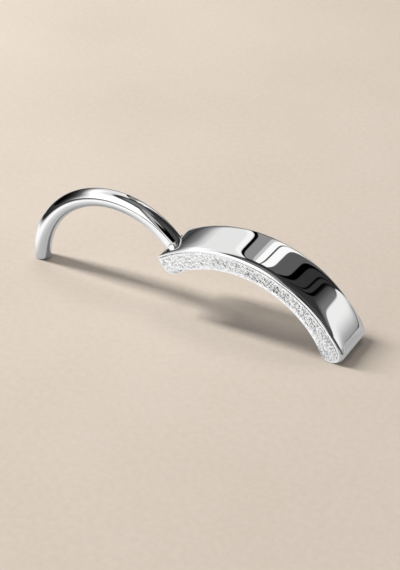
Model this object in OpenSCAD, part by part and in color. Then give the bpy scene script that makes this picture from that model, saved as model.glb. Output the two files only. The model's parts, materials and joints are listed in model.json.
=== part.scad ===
// A hinged belly button ring, open and resting on a flat surface.
// A round wire bar is pinned into the forked end of a wide curved plate. Closed, the bar
// swings under the plate and its free end enters a seat in the plate's hollow side.
// X runs along the open ring with the bar at -X, Y from side to side, Z up. The origin is
// on the surface, under the middle of the open ring. The hinge turns about a line along Y.

/* [Open ring] */
// Length of the open ring, from the bar's back to the plate's end facet
open_length = 23.8; // [23.7:0.05:23.9]

/* [Bar] */
// Diameter of the bar's round wire
wire_d = 1.2; // [1.1:0.05:1.25]
// Radius of the bar's bend, to the middle of the wire
bar_bend_r = 6.05; // [6:0.01:6.08]
// Bevel at the edge of the bar's free end
tip_bevel = 0.1; // [0.05:0.01:0.2]

/* [Plate] */
// Width of the plate from side to side
plate_w = 3.5; // [3:0.1:4.5]
// Radius of the plate's polished outer face
plate_outer_r = 9.2; // [9.1:0.02:9.3]
// Height of the outer face at its top
plate_top_z = 5.64; // [5.6:0.01:5.7]
// Place of the outer face's top along the ring
plate_top_x = 3.93; // [3.85:0.01:4]
// Radius of the plate's hollow inner face
plate_inner_r = 7.05; // [6.95:0.02:7.15]
// Height of the hollow inner face at its top
hollow_top_z = 4.26; // [4.2:0.01:4.3]
// Place of the hollow's top along the ring
hollow_top_x = 4.26; // [4.2:0.01:4.3]
// Rounding of the long edges of the outer face
long_edge_r = 0.2; // [0.1:0.02:0.3]
// Rounding of the plate's two lower corners at its far end
nose_r = 0.7; // [0.6:0.02:0.74]
// Place of the crease where the outer face meets the facet at the hinge end, as an angle
crease_angle = 118.5; // [117:0.5:120]
// Turn of that facet beyond the outer face
facet_turn = 19; // [12:1:26]
// Rounding of the lower corner at the hinge end
ear_corner_r = 0.4; // [0.2:0.05:0.5]

/* [Hinge] */
// Place of the hinge axis along the ring
hinge_x = -0.28; // [-0.32:0.01:-0.25]
// Height of the hinge axis
hinge_z = 3.73; // [3.7:0.01:3.76]
// Diameter of the hinge pin
pin_d = 0.4; // [0.3:0.02:0.46]
// Length of the hinge pin, closed in by the ears
pin_length = 3.2; // [2.6:0.1:3.2]
// Radius of the round knuckle at the bar's foot
knuckle_r = 0.8; // [0.78:0.01:0.84]
// Width of the knuckle
knuckle_w = 1.26; // [1.26:0.02:1.3]
// Gap at each side of the knuckle
side_gap = 0.05; // [0.03:0.01:0.1]
// Gap between the knuckle and the slot's rounded end
end_gap = 0.06; // [0.04:0.01:0.08]
// Distance from the hinge axis to the slot's wall below it, which the closed bar passes
slot_reach = 0.95; // [0.92:0.01:1.05]
// Distance from the hinge axis to the cut end of the ears
ear_reach = 0.42; // [0.4:0.01:0.5]
// Lean of the ears' cut end from the vertical
ear_cut_angle = 45; // [40:1:50]

/* [Closing] */
// Turn of the bar from fully open to closed
swing = 146.5; // [145:0.5:147]
// Radius of the seat for the bar's free end
seat_r = 0.72; // [0.7:0.01:0.74]

/* [Hidden] */
$fn = 96;

wire_r = wire_d / 2;
pin_r = pin_d / 2;
press_gap = 0.01;
running_gap = 0.03;
facet_x = open_length / 2;
bar_x = wire_r + bar_bend_r - facet_x;
hinge = [hinge_x, hinge_z];
outer_c = [plate_top_x, plate_top_z - plate_outer_r];
inner_c = [hollow_top_x, hollow_top_z - plate_inner_r];
slot_w = knuckle_w + 2 * side_gap;
// The slot is open to the left of this line at any height, and right of it below its end.
mouth_x = hinge_x - 0.2;
// Size of the blanks that cut away what lies outside an edge
beyond = 4;

// The bar's foot ends on the line from the middle of its bend through the hinge axis.
foot_angle = atan2(hinge.y, hinge.x - bar_x);
// The free end swings on a circle about the hinge axis.
tip_start = [bar_x - bar_bend_r, 0];
swing_r = norm(tip_start - hinge);
swing_start = 180 + atan2(hinge.y - tip_start.y, hinge.x - tip_start.x);
// The seat follows that circle. The tip leans in it, so it stops a little past the tip's
// middle, and its own middle is a little nearer the hinge.
seat_past = 1.3;
seat_shift = 0.05;
seat_sweep = 14;
seat_stop = swing_start + swing + seat_past - 360;

// Directions in the side view: into the ears from their cut end, and along the cut
ear_in = [cos(ear_cut_angle), sin(ear_cut_angle)];
ear_up = [-sin(ear_cut_angle), cos(ear_cut_angle)];
ear_cut = hinge - ear_reach * ear_in;
// The facet at the hinge end runs down from the crease to the ears' tip.
crease = outer_c + plate_outer_r * [cos(crease_angle), sin(crease_angle)];
facet_up = [cos(crease_angle - 90 + facet_turn), sin(crease_angle - 90 + facet_turn)];
ear_tip = crease - ((crease - ear_cut) * ear_in) / (facet_up * ear_in) * facet_up;

// Point at distance d inside the ears' cut end and at distance r from the point c
function on_cut_line(d, c, r) =
  let (p = ear_cut + d * ear_in - c, b = p * ear_up)
  c + p + (sqrt(b * b - p * p + r * r) - b) * ear_up;
// Point at height z and at distance r from the point c, on its far side
function at_height(z, c, r) = [c.x + sqrt(r * r - pow(z - c.y, 2)), z];
function unit(v) = v / norm(v);

// Stands a side view upright and gives it a width, the same to each side
module side_view(w) {
  rotate([90, 0, 0]) linear_extrude(w, center = true) children();
}

// What a rounding of radius r about c takes off between the directions a and b
module corner_waste(c, r, a, b) {
  difference() {
    polygon([c, c + beyond * a, c + beyond * (a + b), c + beyond * b]);
    translate(c) circle(r);
  }
}

// Side view of the plate, left open above the outer face
module plate_profile() {
  corner_c = on_cut_line(ear_corner_r, inner_c, plate_inner_r + ear_corner_r);
  heel_c = at_height(nose_r, inner_c, plate_inner_r + nose_r);
  toe_c = [facet_x - nose_r, nose_r];
  difference() {
    intersection() {
      polygon([
        ear_cut - beyond * ear_up, ear_tip, crease + beyond * facet_up,
        [facet_x, plate_top_z + beyond], [facet_x, 0], [0, 0]
      ]);
      translate(outer_c) circle(plate_outer_r + 1);
    }
    translate(inner_c) circle(plate_inner_r);
    corner_waste(corner_c, ear_corner_r, -ear_in, unit(inner_c - corner_c));
    corner_waste(heel_c, nose_r, unit(inner_c - heel_c), [0, -1]);
    corner_waste(toe_c, nose_r, [0, -1], [1, 0]);
  }
}

// Round band whose outer face is the plate's, with its two long edges rounded
module outer_band() {
  half_w = plate_w / 2;
  edge_x = plate_outer_r - long_edge_r;
  edge_y = half_w - long_edge_r;
  translate([outer_c.x, 0, outer_c.y])
    rotate([90, 0, 0])
      rotate_extrude($fn = 180)
        difference() {
          translate([plate_inner_r - 1, -half_w])
            square([plate_outer_r - plate_inner_r + 1, plate_w]);
          for (side = [-1, 1])
            difference() {
              translate([edge_x, side > 0 ? edge_y : -edge_y - beyond]) square(beyond);
              translate([edge_x, side * edge_y]) circle(long_edge_r);
            }
        }
}

// Slot between the two ears, open at the end, above and below
module hinge_slot() {
  side_view(slot_w) {
    translate(hinge) circle(knuckle_r + end_gap);
    translate([mouth_x - beyond, hinge.y - beyond]) square([beyond, 2 * beyond]);
    translate(hinge - [beyond, beyond]) square([beyond + slot_reach, beyond]);
  }
}

// Seat for the bar's free end, curved about the hinge axis
module tip_seat() {
  translate([hinge.x, 0, hinge.y])
    rotate([90, 0, 0])
      rotate([0, 0, seat_stop - seat_sweep])
        rotate_extrude(angle = seat_sweep)
          translate([swing_r - seat_shift, 0]) circle(seat_r);
}

module along_hinge(r, length) {
  translate([hinge.x, 0, hinge.y]) rotate([90, 0, 0]) cylinder(h = length, r = r, center = true);
}

module front_plate() {
  color("gainsboro")
    difference() {
      intersection() {
        outer_band();
        side_view(plate_w + 1) plate_profile();
      }
      hinge_slot();
      tip_seat();
      along_hinge(pin_r + press_gap, pin_length + 2 * press_gap);
    }
}

module curved_bar() {
  color("silver")
    difference() {
      union() {
        translate([bar_x, 0, 0])
          rotate([90, 0, 0])
            rotate([0, 0, foot_angle])
              rotate_extrude(angle = 180 - foot_angle, $fn = 180)
                translate([bar_bend_r, 0]) circle(wire_r);
        along_hinge(knuckle_r, knuckle_w);
      }
      along_hinge(pin_r + running_gap, knuckle_w + 1);
      tip_bevel_waste();
    }
}

// What the bevel takes off the edge of the bar's free end
module tip_bevel_waste() {
  half = wire_r / 2;
  translate([tip_start.x, 0, 0])
    rotate_extrude()
      translate([wire_r - tip_bevel, 0]) polygon([[-half, -half], [half, half], [half, -half]]);
}

module hinge_pin() {
  color("gray") along_hinge(pin_r, pin_length);
}

front_plate();
curved_bar();
hinge_pin();
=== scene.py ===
import json
import math

import bmesh
import bpy
import numpy as np
from mathutils import Matrix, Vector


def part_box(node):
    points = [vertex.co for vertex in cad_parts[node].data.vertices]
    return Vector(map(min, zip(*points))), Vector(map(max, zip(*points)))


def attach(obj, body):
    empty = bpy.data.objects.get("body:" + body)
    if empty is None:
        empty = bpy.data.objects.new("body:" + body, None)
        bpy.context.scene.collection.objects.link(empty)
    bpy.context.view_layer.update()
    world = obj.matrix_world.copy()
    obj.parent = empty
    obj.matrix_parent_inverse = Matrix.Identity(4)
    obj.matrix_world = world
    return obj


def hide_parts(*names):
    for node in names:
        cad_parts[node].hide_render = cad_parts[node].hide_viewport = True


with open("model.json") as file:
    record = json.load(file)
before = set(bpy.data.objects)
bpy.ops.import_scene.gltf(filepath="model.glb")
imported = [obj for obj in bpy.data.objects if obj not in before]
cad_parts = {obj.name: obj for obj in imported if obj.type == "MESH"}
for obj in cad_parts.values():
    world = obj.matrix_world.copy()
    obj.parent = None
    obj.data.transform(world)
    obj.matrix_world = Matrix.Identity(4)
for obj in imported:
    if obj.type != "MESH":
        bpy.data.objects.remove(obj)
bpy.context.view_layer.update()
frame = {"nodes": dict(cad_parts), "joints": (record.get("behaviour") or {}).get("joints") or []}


# The front plate is what shows when the ring is worn: one curved bar of surgical steel. Its
# outer face is buffed to a mirror, with soft long edges and a thin bright rim, and its side
# faces are punched all over with small cuts. It ends in two ears that hold the hinge.
mm = 0.001
hinge_x, _, hinge_z = frame["joints"][0]["pos_m"]
hinge = np.array([hinge_x, hinge_z])
_, plate_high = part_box("front_plate")
half_w = plate_high.y
# The side view: the arcs of the outer face and the hollow, then the hinge end with its crease,
# facet and leaning cut, then the far end. Angles are in degrees.
outer_r = 9.2 * mm
plate_top = np.array([3.93 * mm, plate_high.z])
outer_mid = plate_top - [0, outer_r]
inner_r = 7.05 * mm
hollow_top = np.array([4.26 * mm, 4.26 * mm])
inner_mid = hollow_top - [0, inner_r]
crease_angle = 118.5
facet_turn = 19
ear_reach = 0.556 * mm
ear_lean = 32
ear_corner_r = 0.72 * mm
heel_r = 0.6 * mm
toe_r = 0.62 * mm
toe_x = plate_high.x + 0.12 * mm
end_top_x = plate_high.x - 0.08 * mm
end_lean = 12
# What stays of the end facets at the rim, where the outer face is lowest
shortest_facet = 0.02 * mm
shortest_turn = 0.9
# Roundings of the side faces' lower edges and of the far end's side edges
thin_edge_r = 0.05 * mm
far_edge_r = 0.3 * mm
# Steps along the outer face and the hollow, and along the two ends, whose sums are the same
along_count = 420
hinge_end_counts = {"corner": 12, "cut": 20, "facet": 8}
far_end_counts = {"heel": 12, "foot": 4, "toe": 16, "facet": 8}
# Across the outer face the tilt grows slowly at first, as a power of the distance from the
# middle in mm, times its tilt in degrees 1 mm out. Past the crown comes the edge: the distance
# along the face in mm and the tilt there. Its steady stretch is the bright rim.
crown_tilt = 1.17
crown_power = 6.5
crown_half = 1.62
edge_roll = [(1.62, 27), (1.68, 60), (1.735, 64), (1.77, 88), (1.82, 90)]
# The punched cuts on a side face: small dents in slanting rows, loose by the hinge and in
# order further on. Row gap and skew, half length, half width and reach are in cut gaps. The
# rows slant, so they begin a few gaps before the hinge end.
cut_gap = 0.18 * mm
cut_depth = 0.044 * mm
cut_row_gap = 0.7
cut_row_skew = 0.6
cut_lead = 4
cut_half_length = 0.68
cut_half_width = 0.21
cut_reach = 1.5
cut_sizes = (0.7, 1.2)
cut_lean = -26
# How loose the cuts lie everywhere, and how much looser by the hinge, over what length. Their
# lean is looser by so many degrees.
cut_loose = 0.12
hinge_loose = 0.5
hinge_loose_length = 3 * mm
lean_loose = 70
# The cuts' depth by the hinge, and what is added towards the far end
hinge_cut = 0.95
far_cut_gain = 0.1
# The plain land round the cuts, and the fine groove between them and the bright rim
cut_border = 0.05 * mm
rim_land = 0.3 * mm
hollow_land = 0.25 * mm
rim_groove = 0.045 * mm
rim_groove_half = 0.6 * rim_groove


def node(tree, kind, **settings):
    """A shader node with its inputs set by name or number, and other settings by name."""
    made = tree.nodes.new("ShaderNode" + kind)
    for key, value in settings.pop("inputs", {}).items():
        if isinstance(value, bpy.types.NodeSocket):
            tree.links.new(value, made.inputs[key])
        else:
            made.inputs[key].default_value = value
    for key, value in settings.items():
        setattr(made, key, value)
    return made


def calc(tree, operation, *values):
    inputs = dict(enumerate(values))
    return node(tree, "Math", operation=operation, inputs=inputs).outputs[0]


def spread(tree, value, start, stop, first=0.0, last=1.0, shape="LINEAR"):
    """What runs from first to last while the value runs from start to stop."""
    inputs = {"Value": value, "From Min": start, "From Max": stop, "To Min": first, "To Max": last}
    return node(tree, "MapRange", interpolation_type=shape, inputs=inputs).outputs[0]


def mix(tree, share, a, b, way="MIX"):
    inputs = {"Fac": share, "Color1": a, "Color2": b}
    return node(tree, "MixRGB", blend_type=way, inputs=inputs).outputs[0]


def noise(tree, place, scale, detail):
    inputs = {"Vector": place, "Scale": scale, "Detail": detail}
    return node(tree, "TexNoise", inputs=inputs).outputs[0]


def shader_group(name, outputs):
    tree = bpy.data.node_groups.new(name, "ShaderNodeTree")
    for label in outputs:
        tree.interface.new_socket(label, in_out="OUTPUT", socket_type="NodeSocketFloat")
    return tree, tree.nodes.new("NodeGroupOutput")


def polish_marks():
    """Faint lines left by the buffing wheel, and a slow wave of the surface."""
    tree, out = shader_group("polish_marks", ["Roughness", "Height"])
    place = node(tree, "TexCoord").outputs["Object"]
    drawn = node(tree, "Mapping", inputs={"Vector": place, "Scale": (900, 14000, 900)}).outputs[0]
    lines = noise(tree, drawn, 1.0, 4.0)
    waves = noise(tree, place, 420.0, 1.0)
    tree.links.new(spread(tree, lines, 0.3, 0.7, 0.01, 0.03), out.inputs["Roughness"])
    tree.links.new(calc(tree, "MULTIPLY_ADD", lines, 0.02, waves), out.inputs["Height"])
    return tree


def frost_grain():
    """The fine grain of the punched side faces as a random tone, with painted shade down in a cut: the
    deeper a point lies, the darker its colour.
    """
    tree, out = shader_group("frost_grain", ["Shade", "Height"])
    place = node(tree, "TexCoord").outputs["Object"]
    grain = noise(tree, place, 9000.0, 4.0)
    bright = spread(tree, grain, 0.35, 0.6, 0.72, 1.0)
    across = calc(tree, "ABSOLUTE", node(tree, "SeparateXYZ", inputs={0: place}).outputs["Y"])
    # Painted shade: the deeper a point lies below the side face, in a cut or in the groove below the
    # rim, the darker its colour
    painted_cut_shade = spread(tree, calc(tree, "SUBTRACT", half_w, across), 0.0, cut_depth, 1.0, 0.62)
    tree.links.new(calc(tree, "MULTIPLY", bright, painted_cut_shade), out.inputs["Shade"])
    tree.links.new(grain, out.inputs["Height"])
    return tree


marks_group = polish_marks()
grain_and_cut_shade_group = frost_grain()


def steel(name, tone, roughness=None, group=marks_group, bump=0.002 * mm):
    """A steel with its own roughness, or else the group's, and the group's relief and shade. Where the
    group gives a shade, it darkens the tone: for the punched sides that is random grain and painted
    shade in the cuts.
    """
    material = bpy.data.materials.new(name)
    material.use_nodes = True
    tree = material.node_tree
    shader = tree.nodes["Principled BSDF"]
    shader.inputs["Metallic"].default_value = 1.0
    shader.inputs["Base Color"].default_value = (*tone, 1)
    marks = node(tree, "Group", node_tree=group)
    if roughness is None:
        tree.links.new(marks.outputs["Roughness"], shader.inputs["Roughness"])
    else:
        shader.inputs["Roughness"].default_value = roughness
    # The group's shade multiplies the tone: random grain, and painted shade in the cuts
    if "Shade" in marks.outputs:
        shaded = mix(tree, 1.0, (*tone, 1), marks.outputs["Shade"], "MULTIPLY")
        tree.links.new(shaded, shader.inputs["Base Color"])
    relief = {"Distance": bump, "Strength": 1.0, "Height": marks.outputs["Height"]}
    tree.links.new(node(tree, "Bump", inputs=relief).outputs[0], shader.inputs["Normal"])
    return material


mirror = steel("mirror_polish", (0.91, 0.908, 0.905))
# The frosted sides' colour holds painted shade in their cuts
frosted = steel("frosted_sides", (0.99, 0.988, 0.985), 0.26, grain_and_cut_shade_group, 0.004 * mm)
satin = steel("satin_hollow", (0.82, 0.825, 0.84), 0.26)
# The place of each steel in a piece's list of materials
mirror_face, frosted_face, satin_face = range(3)


def turned(angle):
    a = math.radians(angle)
    return np.array([math.cos(a), math.sin(a)])


def angle_of(v):
    return math.degrees(math.atan2(v[1], v[0]))


def arc(middle, r, start, stop, count):
    """Points of an arc in the side view, with both ends."""
    a = np.radians(np.linspace(start, stop, count + 1))
    return middle + r * np.stack([np.cos(a), np.sin(a)], 1)


def arc_between(middle, r, a, b, count):
    """Points of an arc in the side view that begins at a and ends at b."""
    points = arc(middle, r, angle_of(a - middle), angle_of(b - middle), count)
    points[0], points[-1] = a, b
    return points


def line(a, b, count):
    return a + (b - a) * np.linspace(0, 1, count + 1)[:, None]


def joined(*stretches):
    """One outline from stretches that each start where the last one ends."""
    return np.concatenate([stretches[0]] + [s[1:] for s in stretches[1:]])


def far_hit(start, way, middle, r):
    """How far from start, the way given, a line leaves the circle."""
    reach = start - middle
    b = reach @ way
    room = b * b - reach @ reach + r * r
    return math.sqrt(room) - b if room > 0 else -1


def eased(k):
    """A share from 0 to 1 with a soft start and end."""
    return k * k * (3 - 2 * k)


def round_off(past, r):
    """How far a face is taken in by a rounding of radius r, at a distance past its start."""
    past = np.clip(past, 0, r)
    return r - np.sqrt(r * r - past * past)


def edge_round(y, half, r):
    """How far a face is taken in at y by the rounding of its edge at half."""
    return round_off(np.abs(y) - (half - r), r)


def roll_stations(half, crown_steps=14, crowding=0.55, turn_steps=3, fine=4000):
    """Stations across the outer face, from side to side: how far out each lies and how far
    the face has dropped there. They crowd towards the edges."""
    along, tilt = np.array(edge_roll).T
    s = np.linspace(0, along[-1], fine)
    crown = crown_tilt * s ** crown_power
    t = np.radians(np.where(s < crown_half, crown, np.interp(s, along, tilt)))
    step = (s[1] - s[0]) * mm
    out = np.concatenate([[0], np.cumsum(np.cos(t[1:])) * step])
    drop = np.concatenate([[0], np.cumsum(np.sin(t[1:])) * step])
    out *= half / out[-1]
    stops = [crown_half * np.linspace(0, 1, crown_steps + 1) ** crowding]
    stops += [np.linspace(a, b, turn_steps + 1)[1:] for a, b in zip(along[:-1], along[1:])]
    stops = np.concatenate(stops)
    out, drop = np.interp(stops, s, out), np.interp(stops, s, drop)
    out[-1] = half
    return np.concatenate([-out[:0:-1], out]), np.concatenate([drop[:0:-1], drop])


def hinge_end_outline(r_out, r_in, inset):
    """The hinge end in the side view, from the hollow up: rounded corner, cut and facet."""
    counts = hinge_end_counts
    into_ear, up_ear = turned(ear_lean), turned(ear_lean + 90)
    cut = hinge - (ear_reach - inset) * into_ear
    corner_r = ear_corner_r - inset
    start = cut + corner_r * into_ear
    corner = start + far_hit(start, up_ear, inner_mid, r_in + corner_r) * up_ear
    crease = outer_mid + outer_r * turned(crease_angle)
    facet_up = turned(crease_angle - 90 + facet_turn)
    tip = crease - ((crease - cut) @ into_ear) / (facet_up @ into_ear) * facet_up
    reach = far_hit(tip, facet_up, outer_mid, r_out)
    if reach > shortest_facet:
        top = tip + reach * facet_up
    else:
        top = cut + far_hit(cut, up_ear, outer_mid, r_out) * up_ear
        tip = top - shortest_facet * up_ear
    start_in = angle_of(corner - inner_mid)
    return joined(
        arc(corner, corner_r, start_in - 180, ear_lean - 180, counts["corner"]),
        line(corner - corner_r * into_ear, tip, counts["cut"]),
        line(tip, top, counts["facet"]),
    )


def far_end_outline(r_out, r_in, inset, end_inset):
    """The far end in the side view, from the hollow up: rounded heel, foot, rounded toe and
    leaning facet."""
    counts = far_end_counts
    heel_in, toe_in = heel_r - inset, toe_r - inset
    heel_across = math.sqrt((r_in + heel_in) ** 2 - (heel_r - inner_mid[1]) ** 2)
    heel = np.array([inner_mid[0] + heel_across, heel_r])
    toe = np.array([toe_x - end_inset - toe_in, toe_r])
    top_x = end_top_x - end_inset
    top = np.array([top_x, outer_mid[1] + math.sqrt(r_out ** 2 - (top_x - outer_mid[0]) ** 2)])
    toe_stop = 360 + end_lean
    if top[1] < toe_r + toe_in * math.sin(math.radians(end_lean)) + shortest_facet:
        # At the rim the outer face is so low that it meets the round toe
        toe_stop = 360
        while np.linalg.norm(toe + toe_in * turned(toe_stop) - outer_mid) > r_out:
            toe_stop -= 1
        top = toe + toe_in * turned(toe_stop + shortest_turn)
    return joined(
        arc(heel, heel_in, angle_of(heel - inner_mid) + 180, 270, counts["heel"]),
        line(heel - [0, heel_in], toe - [0, toe_in], counts["foot"]),
        arc(toe, toe_in, 270, toe_stop, counts["toe"]),
        line(toe + toe_in * turned(toe_stop), top, counts["facet"]),
    )


def plate_outline(drop, inset, far_inset):
    """The plate's four edges in the side view, with the outer face lowered by drop and the
    other faces taken in: hinge end, far end, hollow and outer face."""
    r_out, r_in = outer_r - drop, inner_r + inset
    hinge_end = hinge_end_outline(r_out, r_in, inset)
    far_end = far_end_outline(r_out, r_in, inset, max(far_inset, inset))
    hollow = arc_between(inner_mid, r_in, hinge_end[0], far_end[0], along_count)
    outer = arc_between(outer_mid, r_out, hinge_end[-1], far_end[-1], along_count)
    return hinge_end, far_end, hollow, outer


def patch(left, right, bottom, top, end_share=0.18):
    """A grid of points that fills the space between four edges in the side view. What the two
    end edges bulge fades over end_share of the length."""
    t = np.linspace(0, 1, len(bottom))[:, None, None]
    w = np.linspace(0, 1, len(left))[None, :, None]
    grid = (1 - w) * bottom[:, None] + w * top[:, None]
    for end, near in ((left, t), (right, 1 - t)):
        bulge = end - (1 - w[0]) * end[0] - w[0] * end[-1]
        grid += eased(np.clip(1 - near / end_share, 0, 1)) * bulge[None]
    return grid


def in_space(a, y):
    """Side view points with a place from side to side, as points in space."""
    y = np.broadcast_to(y, a.shape[:-1])
    return np.stack([a[..., 0], y, a[..., 1]], -1)


def finish_mesh(mesh, sharp=30):
    mesh.shade_smooth()
    mesh.set_sharp_from_angle(angle=math.radians(sharp))


def new_piece(name, points, faces, finishes):
    """A closed mesh object. Its faces are turned outwards. finishes says which steel each face
    has, or all of them."""
    mesh = bpy.data.meshes.new(name)
    mesh.from_pydata(points, [], faces)
    for material in (mirror, frosted, satin):
        mesh.materials.append(material)
    finishes = np.broadcast_to(finishes, len(faces)).astype(np.int32)
    mesh.polygons.foreach_set("material_index", finishes)
    work = bmesh.new()
    work.from_mesh(mesh)
    bmesh.ops.recalc_face_normals(work, faces=work.faces)
    work.to_mesh(mesh)
    work.free()
    finish_mesh(mesh)
    piece = bpy.data.objects.new(name, mesh)
    bpy.context.scene.collection.objects.link(piece)
    return piece


def piece_from_grids(name, grids, weld=1e-5 * mm):
    """One closed mesh from grids of points whose borders meet, each with its steel."""
    points, quads, finishes = [], [], []
    base = 0
    for grid, finish in grids:
        n, m = grid.shape[:2]
        i = np.arange(n * m).reshape(n, m) + base
        corners = [i[:-1, :-1], i[1:, :-1], i[1:, 1:], i[:-1, 1:]]
        quads.append(np.stack(corners, -1).reshape(-1, 4))
        finishes += [finish] * len(quads[-1])
        points.append(grid.reshape(-1, 3))
        base += n * m
    points = np.concatenate(points)
    cells = np.round(points / weld).astype(np.int64)
    _, first, back = np.unique(cells, axis=0, return_index=True, return_inverse=True)
    faces, kept_finishes = [], []
    for quad, finish in zip(back.reshape(-1)[np.concatenate(quads)].tolist(), finishes):
        # Where its points are welded, a quad becomes a triangle or goes altogether
        face = [a for a, b in zip(quad, quad[1:] + quad[:1]) if a != b]
        if len(set(face)) > 2:
            faces.append(face)
            kept_finishes.append(finish)
    return new_piece(name, points[first].tolist(), faces, kept_finishes)


def prism(name, outline, half):
    """A solid with a side view outline, the same width to each side."""
    n = len(outline)
    points = np.concatenate([in_space(outline, -half), in_space(outline, half)])
    ring = [(i, (i + 1) % n, n + (i + 1) % n, n + i) for i in range(n)]
    caps = [tuple(range(n)), tuple(range(n, 2 * n))]
    return new_piece(name, points.tolist(), caps + ring, satin_face)


def hinge_rod(name, r, half):
    """A round rod along the hinge's axis."""
    return prism(name, arc(hinge, r, 0, 360, 48)[:-1], half)


def capped(rings):
    """Rings of points, and at each end a point in its middle, which closes it."""
    caps = [np.broadcast_to(ring[:-1].mean(0), ring.shape) for ring in (rings[0], rings[-1])]
    return np.array([caps[0], *rings, caps[1]])


def bent_tube(middle, bend_r, start, stop, steps, radius, around=64):
    """A closed tube along an arc in the side view. radius(distance from the start) gives the
    tube's radius there, and steps the distances as shares of the arc."""
    a = np.linspace(0, 2 * math.pi, around + 1)
    a[-1] = 0
    length = math.radians(abs(stop - start)) * bend_r
    rings = []
    for share in steps:
        out = turned(start + (stop - start) * share)
        size = radius(share * length)
        m = middle + bend_r * out
        flat = m + size * np.cos(a)[:, None] * out
        rings.append(in_space(flat, size * np.sin(a)))
    return capped(rings)


def cut_with(piece, tool, way="DIFFERENCE"):
    """Cuts the tool out of the piece, or joins it on, and removes the tool."""
    change = piece.modifiers.new(tool.name, "BOOLEAN")
    change.operation = way
    change.solver = "MANIFOLD"
    change.object = tool
    depsgraph = bpy.context.evaluated_depsgraph_get()
    mesh = bpy.data.meshes.new_from_object(piece.evaluated_get(depsgraph))
    piece.modifiers.clear()
    piece.data = mesh
    bpy.data.objects.remove(tool)
    finish_mesh(mesh)


def punched(along, up, dice):
    """How deep the cuts are at each point of a side face, from 0 to about 1."""
    depth = np.zeros(along.shape)
    for i in range(-cut_lead, int(along.max() / cut_gap) + 2):
        loose = cut_loose + hinge_loose * math.exp(-(i * cut_gap / hinge_loose_length) ** 2)
        for j in range(int(up.max() / cut_gap / cut_row_gap) + 2):
            across = (j + dice.normal(0, loose)) * cut_gap * cut_row_gap
            at = (i + dice.normal(0, loose)) * cut_gap + cut_row_skew * across
            lean = math.radians(cut_lean + dice.normal(0, lean_loose * loose))
            size = dice.uniform(*cut_sizes)
            near = np.abs(along - at) < cut_reach * cut_gap
            dx, dy = along[near] - at, up[near] - across
            a = (dx * math.cos(lean) + dy * math.sin(lean)) / (cut_half_length * cut_gap * size)
            b = (dy * math.cos(lean) - dx * math.sin(lean)) / (cut_half_width * cut_gap)
            depth[near] = np.maximum(depth[near], size * np.exp(-a ** 2 - b ** 2))
    return depth * (hinge_cut + far_cut_gain * along / along.max())


def side_depth(side, dice):
    """How deep each point of a side face lies: the cuts, and the groove below the rim."""
    steps_up = np.linalg.norm(np.diff(side, axis=1), axis=2)
    up = np.concatenate([np.zeros((len(side), 1)), np.cumsum(steps_up, 1)], 1)
    mid_line = side[:, side.shape[1] // 2]
    steps_along = np.linalg.norm(np.diff(mid_line, axis=0), axis=1)
    along = np.concatenate([[0], np.cumsum(steps_along)])
    along = np.broadcast_to(along[:, None], up.shape)
    from_end = np.minimum(along, along.max() - along)
    from_rim = up[:, -1:] - up
    fade = np.clip(np.minimum(np.minimum(up, from_rim), from_end) / cut_border, 0, 1) ** 2
    fade *= np.clip(from_rim / rim_land, 0, 1) * np.clip(up / hollow_land, 0, 1)
    groove = np.exp(-((from_rim - rim_groove) / rim_groove_half) ** 2)
    groove *= (from_rim > 0) * np.clip(from_end / cut_border, 0, 1)
    return cut_depth * np.maximum(fade * punched(along, up, dice), groove)


stations, drops = roll_stations(half_w)
insets = edge_round(stations, half_w, thin_edge_r)
far_insets = edge_round(stations, half_w, far_edge_r)
outlines = [plate_outline(*s) for s in zip(drops, insets, far_insets)]
hinge_ends, far_ends, hollows, outers = (
    np.stack([in_space(o[k], y) for o, y in zip(outlines, stations)], 1) for k in range(4)
)
side = patch(*outlines[0])
dice = np.random.default_rng(7)
near_side, far_side = (
    in_space(side, s * (half_w - side_depth(side, dice))) for s in (-1, 1)
)
plate = piece_from_grids("plate_body", [
    (outers, mirror_face), (hinge_ends, mirror_face), (far_ends, mirror_face),
    (near_side, frosted_face), (far_side, frosted_face), (hollows, satin_face),
])

# The slot is milled in from the end. It is round about the hinge, open beyond its mouth at any
# height, and open below the hinge as far as its wall.
slot_half = 0.68 * mm
slot_end_r = 0.86 * mm
mouth_back = 0.2 * mm
mouth_x = hinge_x - mouth_back
wall_x = hinge_x + 0.95 * mm
beyond = 4 * mm
slot_low, slot_high = hinge_z - beyond, hinge_z + beyond
slot_stop = 180 - math.degrees(math.acos(mouth_back / slot_end_r))
slot_outline = np.array([
    [mouth_x - beyond, slot_low], [wall_x, slot_low], [wall_x, hinge_z],
    *arc(hinge, slot_end_r, 0, slot_stop, 40),
    [mouth_x, slot_high], [mouth_x - beyond, slot_high],
])
cut_with(plate, prism("slot", slot_outline, slot_half))

# The pin hole is closed at both ends. The seat follows the path of the bar's tip.
pin_hole_r = 0.21 * mm
pin_hole_half = 1.61 * mm
seat_r = 0.72 * mm
seat_turn_r = 11.584 * mm
seat_stop = -13.45
seat_start = seat_stop - 14
seat_shares = np.linspace(0, 1, 41)
cut_with(plate, hinge_rod("pin_hole", pin_hole_r, pin_hole_half))
seat = bent_tube(hinge, seat_turn_r, seat_start, seat_stop, seat_shares, lambda distance: seat_r)
cut_with(plate, piece_from_grids("seat", [(seat, satin_face)]))
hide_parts("front_plate")
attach(plate, "plate")


# The curved bar goes through the piercing: one round wire of the same steel, bent to an arc and
# polished, thinner towards its free end, which is softened all round. The flat round knuckle at
# its foot is bored for the pin.
bar_low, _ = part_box("curved_bar")
wire_r = 0.6 * mm
bend_r = 6.05 * mm
bend_mid = np.array([bar_low.x + wire_r + bend_r, 0.0])
tip_r = 0.55 * mm
tip_edge_r = 0.12 * mm
taper_length = 2.6 * mm
knuckle_r = 0.8 * mm
knuckle_half = 0.63 * mm
knuckle_edge_r = 0.08 * mm
knuckle_bore_r = 0.23 * mm
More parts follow.
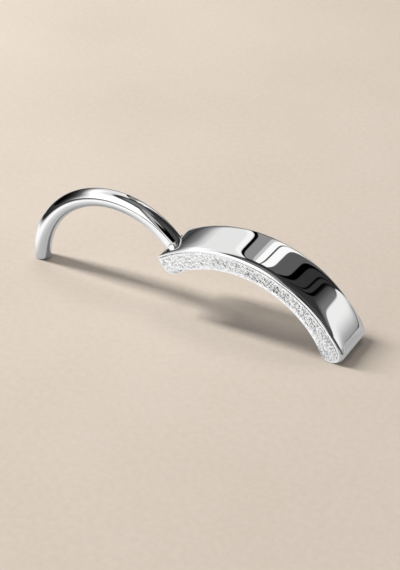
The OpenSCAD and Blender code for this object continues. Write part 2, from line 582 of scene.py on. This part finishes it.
# Rings of points along the wire: some on the tip's edge, then evenly from this share on
tip_rings, even_rings, even_start = 9, 160, 0.012


def wire_size(distance):
    """The wire's radius at a distance from its free end."""
    size = tip_r + (wire_r - tip_r) * eased(min(distance / taper_length, 1))
    return size - round_off(tip_edge_r - distance, tip_edge_r)


def edge_steps(r, count):
    """Distances from the start of a rounded edge to its end, closer together at its start."""
    return (1 - np.cos(np.linspace(0, math.pi / 2, count))) * r


foot_angle = angle_of(hinge - bend_mid)
bar_length = bend_r * math.radians(180 - foot_angle)
tip_steps = edge_steps(tip_edge_r, tip_rings) / bar_length
bar_steps = np.concatenate([tip_steps, np.linspace(even_start, 1, even_rings)])
wire = bent_tube(bend_mid, bend_r, 180, foot_angle, bar_steps, wire_size)
bar = piece_from_grids("wire_bar", [(wire, mirror_face)])

knuckle_ys = np.concatenate([edge_steps(knuckle_edge_r, 6) - knuckle_half, [0]])
knuckle_ys = np.concatenate([knuckle_ys, -knuckle_ys[-2::-1]])
knuckle_rs = knuckle_r - edge_round(knuckle_ys, knuckle_half, knuckle_edge_r)
ring = arc(0, 1, 0, 360, 96)
ring[-1] = ring[0]
knuckle = capped([in_space(hinge + r * ring, y) for r, y in zip(knuckle_rs, knuckle_ys)])
cut_with(bar, piece_from_grids("knuckle", [(knuckle, mirror_face)]), "UNION")
cut_with(bar, hinge_rod("bore", knuckle_bore_r, 2 * knuckle_half))
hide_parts("curved_bar")
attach(bar, "bar")


# The hinge pin is a short plain rod of ground steel. It sits tight in both ears, which close
# over its ends, and the knuckle turns on it. Its solid is shown as it is.
pin_finish = steel("ground_pin", (0.6, 0.6, 0.61), 0.3)
for material_slot in frame["nodes"]["hinge_pin"].material_slots:
    material_slot.material = pin_finish


# The ring lies on a plain pale slab of matt stone, much larger than the picture. In the steel
# the slab shows otherwise than it looks: its colour for mirrored rays is a painted reflection,
# a white card with painted dark strips and a painted shade patch, and it has a painted glow.
slab_half = 2.0
slab_drop = 0.01 * mm
slab_tones = [(0.35, (0.70, 0.60, 0.505, 1)), (0.65, (0.76, 0.665, 0.57, 1))]
# Brightness of the painted reflection, a white card seen only in the steel, along the ring and
# from front to back, at places in mm: it has a painted dark left end, ends just past the plate,
# and has a painted dark strip behind the ring
along_reach, back_reach, near_reach = (-40, 40), (-20, 60), (-20, 20)
painted_reflection_along = [(-40, 0), (-25, 0), (-18, 1), (11.6, 1), (12, 0.1)]
painted_reflection_back = [(-20, 1), (3.1, 1), (3.6, 0.03), (5.4, 0.03), (6, 0.8), (20, 0.6), (60, 0.15)]
# A painted shade patch about the bar's end, where the ring's own shade would lie on the slab as the
# steel mirrors it
painted_shade_patch_along = [(-14, 0), (-11.8, 1), (-8, 1), (-5, 0)]
painted_shade_patch_back = [(-10, 0), (-4, 0.7), (-2, 1), (2, 1)]
painted_shade_dim = -0.5
# The painted glow, which makes the slab shine in the steel though it is no lamp. It shows only
# in front of the ring and past the plate's far end
painted_glow_along = [(-40, 0), (-9, 0), (-5, 0.03), (2, 0.12), (11.6, 0.2), (12, 0.4)]
painted_glow_front = [(-4, 1), (-2.5, 0)]
painted_glow_far = [(11.6, 0), (12, 1)]


def graph(tree, value, reach, stops):
    """Brightness for a value within its reach, straight between listed stops."""
    low, high = reach
    ramp = node(tree, "ValToRGB", inputs={"Fac": spread(tree, value, low, high)})
    marks = ramp.color_ramp.elements
    while len(marks) < len(stops):
        marks.new(0.5)
    for mark, (at, _) in zip(marks, stops):
        mark.position = (at - low) / (high - low)
    for mark, (_, shade) in zip(marks, stops):
        mark.color = (shade, shade, shade, 1)
    return ramp.outputs["Color"]


def slab_material():
    material = bpy.data.materials.new("pale_slab")
    material.use_nodes = True
    tree = material.node_tree
    shader = tree.nodes["Principled BSDF"]
    place = node(tree, "TexCoord").outputs["Object"]
    clouds = noise(tree, place, 60.0, 5.0)
    grit = noise(tree, place, 2500.0, 2.0)
    shade = calc(tree, "MULTIPLY_ADD", clouds, 0.6, calc(tree, "MULTIPLY", grit, 0.4))
    tone = node(tree, "ValToRGB", inputs={"Fac": shade})
    for mark, (at, colour) in zip(tone.color_ramp.elements, slab_tones):
        mark.position, mark.color = at, colour
    in_mm = node(tree, "Mapping", inputs={"Vector": place, "Scale": (1000, 1000, 1000)})
    x, y, _ = node(tree, "SeparateXYZ", inputs={0: in_mm.outputs[0]}).outputs
    along = graph(tree, x, along_reach, painted_reflection_along)
    behind = graph(tree, y, back_reach, painted_reflection_back)
    # Painted shade in the reflection: the card is dimmed about the bar's end
    near_x = graph(tree, x, along_reach, painted_shade_patch_along)
    near_y = graph(tree, y, near_reach, painted_shade_patch_back)
    near = calc(tree, "MULTIPLY_ADD", calc(tree, "MULTIPLY", near_x, near_y), painted_shade_dim, 1.0)
    # The painted reflection card: its brightness along and across, dimmed by the painted shade patch
    painted_reflection_card = calc(tree, "MULTIPLY", calc(tree, "MULTIPLY", along, behind), near)
    # Painted glow: the slab shines for mirrored rays as if it were a lamp
    front = graph(tree, y, near_reach, painted_glow_front)
    far = graph(tree, x, along_reach, painted_glow_far)
    strength = graph(tree, x, along_reach, painted_glow_along)
    painted_glow = calc(tree, "MULTIPLY", strength, calc(tree, "MAXIMUM", front, far))
    # Painted reflection: mirrored rays see the card, and other rays see the stone's tone
    mirrored = node(tree, "LightPath").outputs["Is Glossy Ray"]
    shown = mix(tree, mirrored, tone.outputs[0], painted_reflection_card)
    tree.links.new(shown, shader.inputs["Base Color"])
    # The painted glow, for mirrored rays only
    tree.links.new(calc(tree, "MULTIPLY", painted_glow, mirrored), shader.inputs["Emission Strength"])
    shader.inputs["Emission Color"].default_value = (1, 1, 1, 1)
    shader.inputs["Roughness"].default_value = 0.6
    shader.inputs["Specular IOR Level"].default_value = 0.25
    return material


slab_mesh = bpy.data.meshes.new("slab")
slab_corners = [(-1, -1), (1, -1), (1, 1), (-1, 1)]
slab_points = [(x * slab_half, y * slab_half, -slab_drop) for x, y in slab_corners]
slab_mesh.from_pydata(slab_points, [], [(0, 1, 2, 3)])
slab = bpy.data.objects.new("slab", slab_mesh)
bpy.context.scene.collection.objects.link(slab)
slab_mesh.materials.append(slab_material())


# The light is a soft studio's: a long narrow softbox on the left, and a broad weaker one behind
# and above. Neither shows in the steel, which mirrors the room's boards instead.
def softbox(name, azimuth, elevation, distance, width, height, power):
    """A light that faces the ring from that azimuth, measured from +Y towards +X."""
    lamp = bpy.data.lights.new(name, "AREA")
    lamp.shape = "RECTANGLE"
    lamp.size, lamp.size_y = width, height
    lamp.energy = power
    light = bpy.data.objects.new(name, lamp)
    turn = Matrix.Rotation(math.radians(180 - azimuth), 4, "Z")
    tilt = Matrix.Rotation(math.radians(90 - elevation), 4, "X")
    light.matrix_world = turn @ tilt @ Matrix.Translation((0, 0, distance))
    light.visible_glossy = False
    bpy.context.scene.collection.objects.link(light)


softbox("key", azimuth=-95, elevation=47, distance=0.3, width=0.05, height=0.14, power=0.85)
softbox("back_fill", azimuth=0, elevation=68, distance=0.35, width=0.2, height=0.12, power=0.2)


# The room that the steel mirrors has pale and dark boards all round. Angles are in degrees:
# across from +Y towards +X, and up from the floor. Each board covers what the earlier ones
# show. Its side edges lean by so many degrees for each degree up from the height lean_from.
board_columns = ("left", "right", "bottom", "top", "soft", "bright", "lean")
boards = {
    "ceiling": (-181, 181, 72, 95, 8, 0.2, 0),
    "right_wall": (62, 134, -10, 66, 16, 0.07, 0),
    "left_softbox": (-168, -30, -10, 61, 7, 0.8, 0),
    "left_softbox_foot": (-150, -52, -10, 50, 10, 1.1, 0),
    "front_softbox": (-179, -122, -4, 58, 6, 1.2, 0),
    "left_window": (-54, -23.5, -10, 58, 5, 0.85, 0),
    "left_window_edge": (-27, -23.5, -10, 56, 2, 1.0, 0),
    "window_gap": (-23.5, -21.2, -10, 62, 0.6, 0.0, 0),
    "window_shade": (-21.3, -14.2, -10, 54, 0.8, 0.29, 0),
    "first_window_shade": (-14.2, -11.8, -10, 54, 0.8, 0.6, 0),
    "first_window": (-11.8, -7.0, -10, 54, 1.2, 1.05, 0),
    "window_post": (-7.0, -5.9, -10, 60, 0.5, 0.03, 0),
    "second_window": (-5.9, 1.0, -10, 53, 0.8, 1.05, 0),
    "dark_panel": (1, 13, -10, 54, 1.2, 0.11, 0),
    "black_post": (13, 17.9, -10, 53, 1.0, 0.0, 0),
    "far_panel": (17.9, 35, -10, 52, 1.5, 0.035, 0),
    "thin_line": (24.2, 25.4, -10, 52, 1.0, 0.0, 0),
    "thin_post": (27.8, 29.8, -10, 52, 0.8, 0.0, 0),
    "right_glow": (31, 62, 14, 26, 8, 0.2, 0),
    "right_card": (37.3, 90, -10, 20.5, 1.5, 0.92, 0.62),
    "right_card_foot": (20, 90, -10, 7, 14, 0.32, 0),
    "right_line": (20, 90, -3, 1.0, 1.0, 0.02, 0),
    "front_black": (122, 167, 4, 52, 6, 0.0, -0.1),
    "front_haze": (142, 172, 43, 76, 9, 0.45, 0),
    "front_strip": (167.5, 172, 14, 56, 1.5, 0.6, -0.2),
    "front_grey": (172, 181, 2, 52, 3, 0.35, 0),
    "front_gap": (174.5, 177, 5, 60, 1, 0.0, -0.15),
    "front_card": (152, 178, 2, 13, 4, 0.95, 0),
    "front_line": (150, 181, -2, 2.5, 2, 0.02, 0),
    "front_line_end": (-181, -165, -2, 3, 2.5, 0.05, 0),
}
lean_from = 35.0
room_shade = 0.035
# How the room darkens towards the floor, behind the ring and on its left
up_reach = (-10, 90)
low_fade = [
    (-10, 0.1), (0, 0.1), (2, 0.18), (4.8, 0.36), (7.5, 0.5), (10, 0.62), (12.5, 0.88), (14, 1), (90, 1),
]
# The dark far end of the room on the left, below the softbox: its middle across and up, half
# its size, and how bright it is from its middle outwards, where 1 is its edge
dark_across, dark_up = -86, 4
dark_half_across, dark_half_up = 46, 30
dark_fade = [(0, 0), (0.4, 0.005), (0.65, 0.03), (0.85, 0.12), (1, 0.5), (1.15, 1), (2, 1)]
# The lamps light the slab, so only this share of the room's light falls on it. The backdrop is
# what shows past the slab's edge.
room_on_slab = (0.3, 0.3, 0.3, 1)
backdrop_tone = (0.78, 0.70, 0.61, 1)


def board_mask(tree, across, up, board):
    """Where a board shows, from 0 to 1, with soft edges."""
    lean = calc(tree, "MULTIPLY", calc(tree, "SUBTRACT", up, lean_from), -board["lean"])
    across = calc(tree, "ADD", across, lean)
    mask = 1.0
    edges = ((across, "left", 1), (across, "right", -1), (up, "bottom", 1), (up, "top", -1))
    for value, edge, side in edges:
        half = side * board["soft"] / 2
        low, high = board[edge] - half, board[edge] + half
        mask = calc(tree, "MULTIPLY", mask, spread(tree, value, low, high, shape="SMOOTHSTEP"))
    return mask


def squared_share(tree, value, middle, half):
    share = calc(tree, "DIVIDE", calc(tree, "SUBTRACT", value, middle), half)
    return calc(tree, "MULTIPLY", share, share)


def room_light(tree):
    """What the room shows in each direction."""
    way = node(tree, "TexCoord").outputs["Generated"]
    x, y, z = node(tree, "SeparateXYZ", inputs={0: way}).outputs
    azimuth = calc(tree, "DEGREES", calc(tree, "ARCTAN2", x, y))
    elevation = calc(tree, "DEGREES", calc(tree, "ARCSINE", z))
    shade = room_shade
    for row in boards.values():
        board = dict(zip(board_columns, row))
        mask = board_mask(tree, azimuth, elevation, board)
        gain = calc(tree, "SUBTRACT", board["bright"], shade)
        shade = calc(tree, "MULTIPLY_ADD", gain, mask, shade)
    across = squared_share(tree, azimuth, dark_across, dark_half_across)
    up = squared_share(tree, elevation, dark_up, dark_half_up)
    from_middle = calc(tree, "SQRT", calc(tree, "ADD", across, up))
    shade = calc(tree, "MULTIPLY", shade, graph(tree, from_middle, (0, 2), dark_fade))
    behind = spread(tree, y, -0.3, 0.1, shape="SMOOTHSTEP")
    leftwards = spread(tree, x, 0.3, -0.1, shape="SMOOTHSTEP")
    faded = graph(tree, elevation, up_reach, low_fade)
    low = mix(tree, calc(tree, "MULTIPLY", behind, leftwards), (1, 1, 1, 1), faded)
    return mix(tree, 1.0, shade, low, "MULTIPLY")


world = bpy.data.worlds.new("studio")
world.use_nodes = True
bpy.context.scene.world = world
tree = world.node_tree
tree.nodes.clear()
ray = node(tree, "LightPath")
room = mix(tree, ray.outputs["Is Diffuse Ray"], room_light(tree), room_on_slab, "MULTIPLY")
shown = mix(tree, ray.outputs["Is Camera Ray"], room, backdrop_tone)
backdrop = node(tree, "Background", inputs={"Color": shown, "Strength": 1.0})
tree.links.new(backdrop.outputs[0], node(tree, "OutputWorld").inputs["Surface"])


# The camera stands in front of the ring on its right, and looks down at it with a long lens.
camera_place = (39.333 * mm, -67.106 * mm, 50.904 * mm)
camera_turn, camera_down, camera_roll = 29.70, 32.60, -0.2
camera_data = bpy.data.cameras.new("camera")
camera_data.sensor_width = 36
camera_data.lens = 89.85
camera_data.clip_start = 1 * mm
camera_data.clip_end = 10
camera = bpy.data.objects.new("camera", camera_data)
bpy.context.scene.collection.objects.link(camera)
camera.matrix_world = (
    Matrix.Translation(camera_place)
    @ Matrix.Rotation(math.radians(camera_turn), 4, "Z")
    @ Matrix.Rotation(math.radians(90 - camera_down), 4, "X")
    @ Matrix.Rotation(math.radians(camera_roll), 4, "Z")
)
bpy.context.scene.camera = camera
bpy.context.scene.view_settings.view_transform = "Standard"
